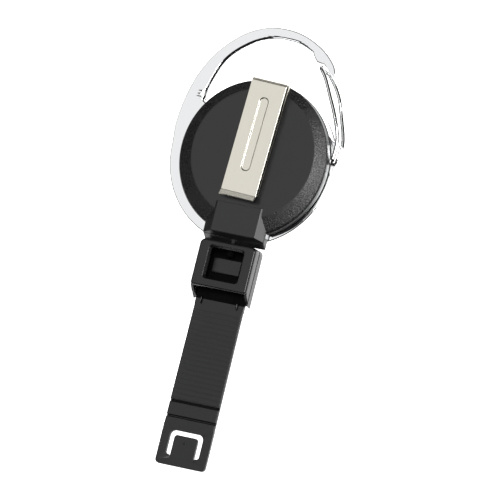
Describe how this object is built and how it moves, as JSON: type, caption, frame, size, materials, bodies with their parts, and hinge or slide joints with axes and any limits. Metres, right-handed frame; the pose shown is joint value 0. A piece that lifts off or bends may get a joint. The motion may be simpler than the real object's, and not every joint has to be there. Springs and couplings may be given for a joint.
{
  "type": "retractable badge reel",
  "caption": "Round badge reel in a carabiner frame with wire gate, belt clip on its back, sprung pull cord and a ribbed strap that closes into a windowed catch",
  "frame": {"origin": "centre of the label disc's flat front face, on the reel's axis", "axes": "+Z out of the back where the belt clip is, +Y to the top of the carabiner arch and away from the cord outlet, +X to the gate side"},
  "size_m": [0.0416, 0.103, 0.0111],
  "materials": {
    "black_abs": "satin black moulded ABS, fine texture on the bevel",
    "black_strap": "satin black moulded flexible plastic",
    "label_disc": "glossy black blank label disc",
    "chromed_zinc": "bright chrome plate on cast zinc",
    "chromed_wire": "bright chrome plate on steel wire",
    "nickel_strip": "satin nickel plate on spring steel strip",
    "spring_steel": "blued spring steel",
    "white_acetal": "natural white acetal",
    "black_cord": "black braided nylon cord"
  },
  "bodies": {
    "case": {"front_cover": "black_abs", "front_insert": "label_disc", "rear_cover": "black_abs", "carabiner_frame": "chromed_zinc", "spring_arbor": "white_acetal", "power_spring": "spring_steel", "clip_rivet": "nickel_strip", "cord_run": "black_cord"},
    "gate": {"gate_wire": "chromed_wire"},
    "clip": {"clip_base": "nickel_strip"},
    "clip_leaf": {"clip_arm": "nickel_strip"},
    "reel_spool": {"spool": "white_acetal", "spool_cover": "white_acetal", "cord_winding": "black_cord"},
    "catch": {"cord_lead": "black_cord", "cord_ferrule": "black_abs", "catch_base": "black_abs", "catch_cover": "black_abs", "strap_root": "black_strap"},
    "strap_flex_1": {"strap_flex_1": "black_strap"},
    "strap_flex_2": {"strap_flex_2": "black_strap"},
    "strap_flex_3": {"strap_flex_3": "black_strap"},
    "strap_flex_4": {"strap_flex_4": "black_strap"},
    "strap_fold": {"strap_fold": "black_strap"},
    "strap_tab": {"strap_tab": "black_strap"},
    "tongue": {"strap_tongue": "black_strap"}
  },
  "joints": [
    {"name": "gate_hinge", "type": "hinge", "parent": "case", "child": "gate", "pos_m": [0.0186, 0.003, 0.005], "axis": [0, 0, 1], "range_deg": [0, 14], "stiffness_Nm_per_rad": 0.02, "springref_deg": -5.73},
    {"name": "clip_swivel", "type": "hinge", "parent": "case", "child": "clip", "pos_m": [0, 0, 0.0093], "axis": [0, 0, 1], "continuous": true},
    {"name": "clip_flex", "type": "hinge", "parent": "clip", "child": "clip_leaf", "pos_m": [0.00078, 0.01708, 0.0108], "axis": [-0.999, 0.0454, 0], "range_deg": [0, 9], "stiffness_Nm_per_rad": 0.3, "springref_deg": -2.86},
    {"name": "cord_pull", "type": "slide", "parent": "case", "child": "catch", "axis": [0, -1, 0], "range_m": [0, 0.8], "stiffness_N_per_m": 1.2, "springref_m": -0.9},
    {"name": "spool_spin", "type": "hinge", "parent": "case", "child": "reel_spool", "pos_m": [0, 0, 0.0053], "axis": [0, 0, -1], "range_deg": [0, 3960]},
    {"name": "strap_bend_1", "type": "hinge", "parent": "catch", "child": "strap_flex_1", "pos_m": [0, -0.0365, 0.00595], "axis": [-1, 0, 0], "range_deg": [-6, 30], "stiffness_Nm_per_rad": 0.02},
    {"name": "strap_bend_2", "type": "hinge", "parent": "strap_flex_1", "child": "strap_flex_2", "pos_m": [0, -0.0417, 0.00595], "axis": [-1, 0, 0], "range_deg": [-6, 30], "stiffness_Nm_per_rad": 0.02},
    {"name": "strap_bend_3", "type": "hinge", "parent": "strap_flex_2", "child": "strap_flex_3", "pos_m": [0, -0.0469, 0.00595], "axis": [-1, 0, 0], "range_deg": [-6, 30], "stiffness_Nm_per_rad": 0.02},
    {"name": "strap_bend_4", "type": "hinge", "parent": "strap_flex_3", "child": "strap_flex_4", "pos_m": [0, -0.0521, 0.00595], "axis": [-1, 0, 0], "range_deg": [-6, 30], "stiffness_Nm_per_rad": 0.02},
    {"name": "strap_bend_5", "type": "hinge", "parent": "strap_flex_4", "child": "strap_fold", "pos_m": [0, -0.0574, 0.00595], "axis": [-1, 0, 0], "range_deg": [-6, 30], "stiffness_Nm_per_rad": 0.02},
    {"name": "strap_bend_6", "type": "hinge", "parent": "strap_fold", "child": "strap_tab", "pos_m": [0, -0.06095, 0.00595], "axis": [-1, 0, 0], "range_deg": [-6, 30], "stiffness_Nm_per_rad": 0.02},
    {"name": "tongue_flex", "type": "hinge", "parent": "strap_tab", "child": "tongue", "pos_m": [0, -0.0702, 0.00595], "axis": [-1, 0, 0], "range_deg": [-12, 12], "stiffness_Nm_per_rad": 0.02}
  ],
  "couplings": [
    {"joint": "spool_spin", "follows": "cord_pull", "rad_per_m": 86.2}
  ]
}
